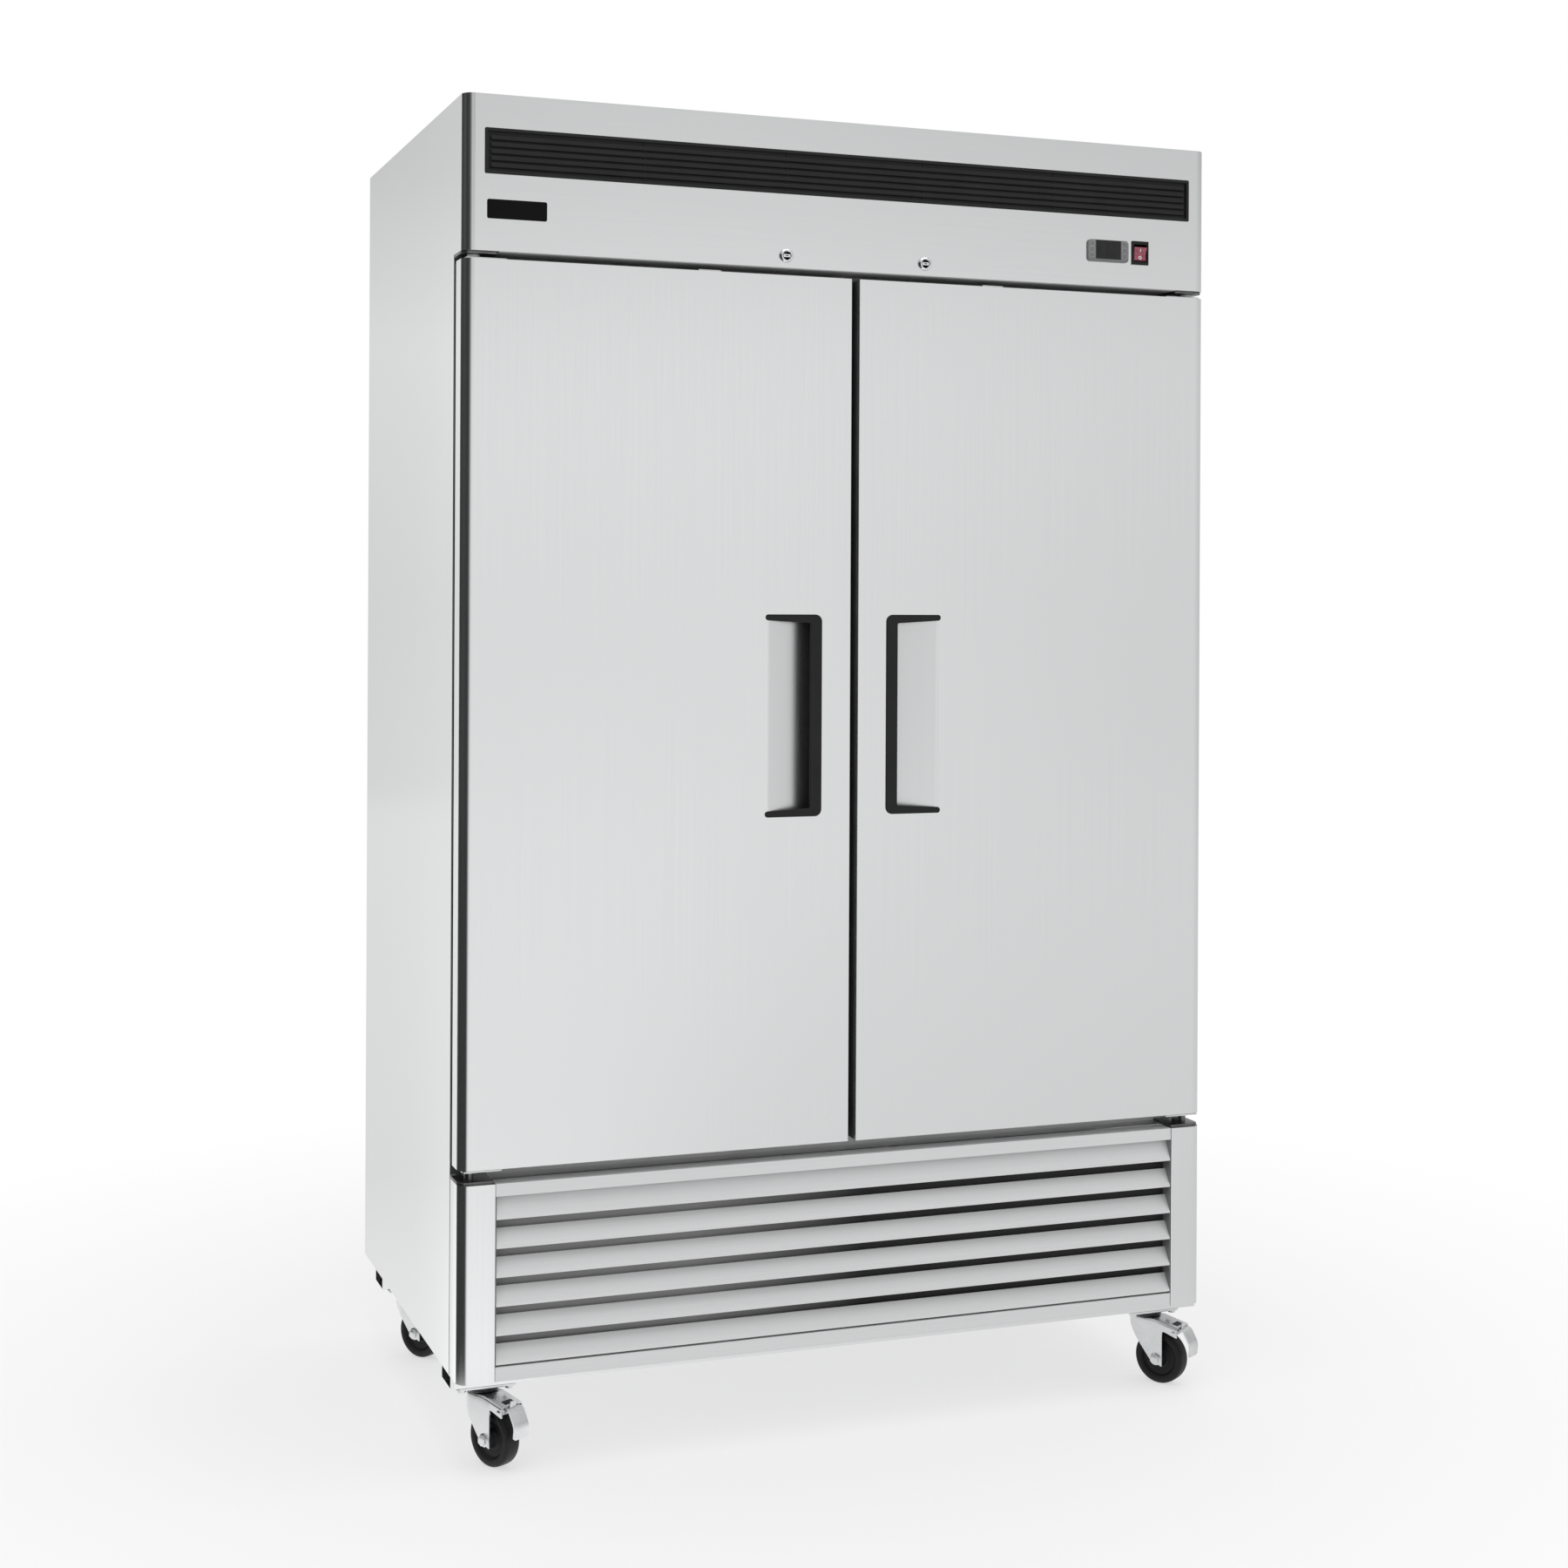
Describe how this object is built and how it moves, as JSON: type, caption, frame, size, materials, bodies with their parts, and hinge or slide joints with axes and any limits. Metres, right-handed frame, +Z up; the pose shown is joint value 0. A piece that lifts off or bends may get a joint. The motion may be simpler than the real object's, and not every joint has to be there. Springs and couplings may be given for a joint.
{
  "type": "reach-in freezer",
  "caption": "Upright stainless reach-in freezer with paired solid hinged doors, recessed black handles, top vent grille, louvred base and swivel castors.",
  "frame": {"origin": "on the floor, under the middle of the cabinet", "axes": "+X to the right as seen from the front, +Y to the rear, +Z up; the doors face -Y"},
  "size_m": [1.3076, 0.8, 2.137],
  "materials": {
    "stainless": "fine-brushed stainless sheet",
    "galvanised": "galvanised sheet",
    "foam": "rigid foam",
    "white_liner": "smooth white liner",
    "black_plastic": "fine-textured black plastic",
    "grey_plastic": "satin grey plastic",
    "key_plastic": "pale grey plastic",
    "dark_window": "smoked window",
    "red_plastic": "translucent red plastic",
    "chrome": "polished chrome plate",
    "zinc": "bright zinc plate",
    "gasket": "soft grey vinyl",
    "castor_rubber": "black hard rubber",
    "black_enamel": "black enamel",
    "copper": "bright copper tube",
    "aluminium": "plain aluminium fins",
    "wire_white": "epoxy-coated wire"
  },
  "bodies": {
    "cabinet": {"base_frame": "galvanised", "cabinet_insulation": "foam", "castor_plates": "zinc", "compressor": "black_enamel", "condenser_coil": "aluminium", "condenser_fan_housing": "galvanised", "controller_case": "grey_plastic", "corner_post_left": "stainless", "corner_post_right": "stainless", "display_window": "dark_window", "evaporator_coil": "aluminium", "evaporator_cover": "white_liner", "face_frame": "stainless", "header_panel": "stainless", "hinge_brackets": "zinc", "inner_liner": "white_liner", "lock_barrels": "chrome", "louvre_panel": "stainless", "rear_panel": "galvanised", "refrigerant_lines": "copper", "shelf_clips": "stainless", "shelf_standards": "stainless", "side_panel_left": "stainless", "side_panel_right": "stainless", "switch_bezel": "black_plastic", "top_panel": "stainless", "vent_grille": "black_plastic", "wire_shelves": "wire_white"},
    "left_door": {"door_skin_left": "stainless", "door_liner_left": "white_liner", "door_gasket_left": "gasket", "door_handle_left": "black_plastic", "door_hardware_left": "zinc"},
    "right_door": {"door_skin_right": "stainless", "door_liner_right": "white_liner", "door_gasket_right": "gasket", "door_handle_right": "black_plastic", "door_hardware_right": "zinc"},
    "left_lock": {"lock_plug_left": "chrome"},
    "right_lock": {"lock_plug_right": "chrome"},
    "rocker": {"power_rocker": "red_plastic"},
    "left_cold_fan": {"evaporator_fan_left": "black_plastic"},
    "right_cold_fan": {"evaporator_fan_right": "black_plastic"},
    "machine_fan": {"condenser_fan": "black_plastic"},
    "key_left_top": {"key_left_top": "key_plastic"},
    "key_left_middle": {"key_left_middle": "key_plastic"},
    "key_left_bottom": {"key_left_bottom": "key_plastic"},
    "key_right_top": {"key_right_top": "key_plastic"},
    "key_right_middle": {"key_right_middle": "key_plastic"},
    "key_right_bottom": {"key_right_bottom": "key_plastic"},
    "fork_front_left": {"castor_fork_front_left": "zinc"},
    "wheel_front_left": {"castor_wheel_front_left": "castor_rubber"},
    "pedal_front_left": {"brake_pedal_front_left": "zinc"},
    "fork_front_right": {"castor_fork_front_right": "zinc"},
    "wheel_front_right": {"castor_wheel_front_right": "castor_rubber"},
    "pedal_front_right": {"brake_pedal_front_right": "zinc"},
    "fork_rear_left": {"castor_fork_rear_left": "zinc"},
    "wheel_rear_left": {"castor_wheel_rear_left": "castor_rubber"},
    "fork_rear_right": {"castor_fork_rear_right": "zinc"},
    "wheel_rear_right": {"castor_wheel_rear_right": "castor_rubber"}
  },
  "joints": [
    {"name": "left_door_hinge", "type": "hinge", "parent": "cabinet", "child": "left_door", "pos_m": [-0.628, -0.368, 1.18], "axis": [0, 0, -1], "range_deg": [0, 120]},
    {"name": "right_door_hinge", "type": "hinge", "parent": "cabinet", "child": "right_door", "pos_m": [0.628, -0.368, 1.18], "axis": [0, 0, 1], "range_deg": [0, 120]},
    {"name": "left_lock_turn", "type": "hinge", "parent": "cabinet", "child": "left_lock", "pos_m": [-0.1218, -0.396, 1.914], "axis": [0, -1, 0], "range_deg": [0, 90]},
    {"name": "right_lock_turn", "type": "hinge", "parent": "cabinet", "child": "right_lock", "pos_m": [0.1218, -0.396, 1.914], "axis": [0, 1, 0], "range_deg": [0, 90]},
    {"name": "power_rocker_tilt", "type": "hinge", "parent": "cabinet", "child": "rocker", "pos_m": [0.5225, -0.388, 1.9545], "axis": [-1, 0, 0], "range_deg": [0, 18]},
    {"name": "left_cold_fan_spin", "type": "hinge", "parent": "cabinet", "child": "left_cold_fan", "pos_m": [-0.225, -0.2318, 1.978], "axis": [0, -1, 0], "continuous": true},
    {"name": "right_cold_fan_spin", "type": "hinge", "parent": "cabinet", "child": "right_cold_fan", "pos_m": [0.225, -0.2318, 1.978], "axis": [0, -1, 0], "continuous": true},
    {"name": "machine_fan_spin", "type": "hinge", "parent": "cabinet", "child": "machine_fan", "pos_m": [-0.28, -0.181, 0.28], "axis": [0, 1, 0], "continuous": true},
    {"name": "key_left_top_press", "type": "slide", "parent": "cabinet", "child": "key_left_top", "axis": [0, 1, 0], "range_m": [0, 0.0008], "stiffness_N_per_m": 900},
    {"name": "key_left_middle_press", "type": "slide", "parent": "cabinet", "child": "key_left_middle", "axis": [0, 1, 0], "range_m": [0, 0.0008], "stiffness_N_per_m": 900},
    {"name": "key_left_bottom_press", "type": "slide", "parent": "cabinet", "child": "key_left_bottom", "axis": [0, 1, 0], "range_m": [0, 0.0008], "stiffness_N_per_m": 900},
    {"name": "key_right_top_press", "type": "slide", "parent": "cabinet", "child": "key_right_top", "axis": [0, 1, 0], "range_m": [0, 0.0008], "stiffness_N_per_m": 900},
    {"name": "key_right_middle_press", "type": "slide", "parent": "cabinet", "child": "key_right_middle", "axis": [0, 1, 0], "range_m": [0, 0.0008], "stiffness_N_per_m": 900},
    {"name": "key_right_bottom_press", "type": "slide", "parent": "cabinet", "child": "key_right_bottom", "axis": [0, 1, 0], "range_m": [0, 0.0008], "stiffness_N_per_m": 900},
    {"name": "castor_swivel_front_left", "type": "hinge", "parent": "cabinet", "child": "fork_front_left", "pos_m": [-0.592, -0.311, 0.113], "axis": [0, 0, 1], "continuous": true},
    {"name": "castor_roll_front_left", "type": "hinge", "parent": "fork_front_left", "child": "wheel_front_left", "pos_m": [-0.57792, -0.33749, 0.045], "axis": [0.8829, 0.4695, 0], "continuous": true},
    {"name": "brake_pedal_front_left", "type": "hinge", "parent": "fork_front_left", "child": "pedal_front_left", "pos_m": [-0.56195, -0.36751, 0.0952], "axis": [0.8829, 0.4695, 0], "range_deg": [0, 12]},
    {"name": "castor_swivel_front_right", "type": "hinge", "parent": "cabinet", "child": "fork_front_right", "pos_m": [0.592, -0.311, 0.113], "axis": [0, 0, 1], "continuous": true},
    {"name": "castor_roll_front_right", "type": "hinge", "parent": "fork_front_right", "child": "wheel_front_right", "pos_m": [0.60834, -0.33616, 0.045], "axis": [0.8387, 0.5446, 0], "continuous": true},
    {"name": "brake_pedal_front_right", "type": "hinge", "parent": "fork_front_right", "child": "pedal_front_right", "pos_m": [0.62686, -0.36468, 0.0952], "axis": [0.8387, 0.5446, 0], "range_deg": [0, 12]},
    {"name": "castor_swivel_rear_left", "type": "hinge", "parent": "cabinet", "child": "fork_rear_left", "pos_m": [-0.592, 0.255, 0.113], "axis": [0, 0, 1], "continuous": true},
    {"name": "castor_roll_rear_left", "type": "hinge", "parent": "fork_rear_left", "child": "wheel_rear_left", "pos_m": [-0.57479, 0.23042, 0.045], "axis": [0.8192, 0.5736, 0], "continuous": true},
    {"name": "castor_swivel_rear_right", "type": "hinge", "parent": "cabinet", "child": "fork_rear_right", "pos_m": [0.592, 0.255, 0.113], "axis": [0, 0, 1], "continuous": true},
    {"name": "castor_roll_rear_right", "type": "hinge", "parent": "fork_rear_right", "child": "wheel_rear_right", "pos_m": [0.607, 0.22902, 0.045], "axis": [0.866, 0.5, 0], "continuous": true}
  ]
}
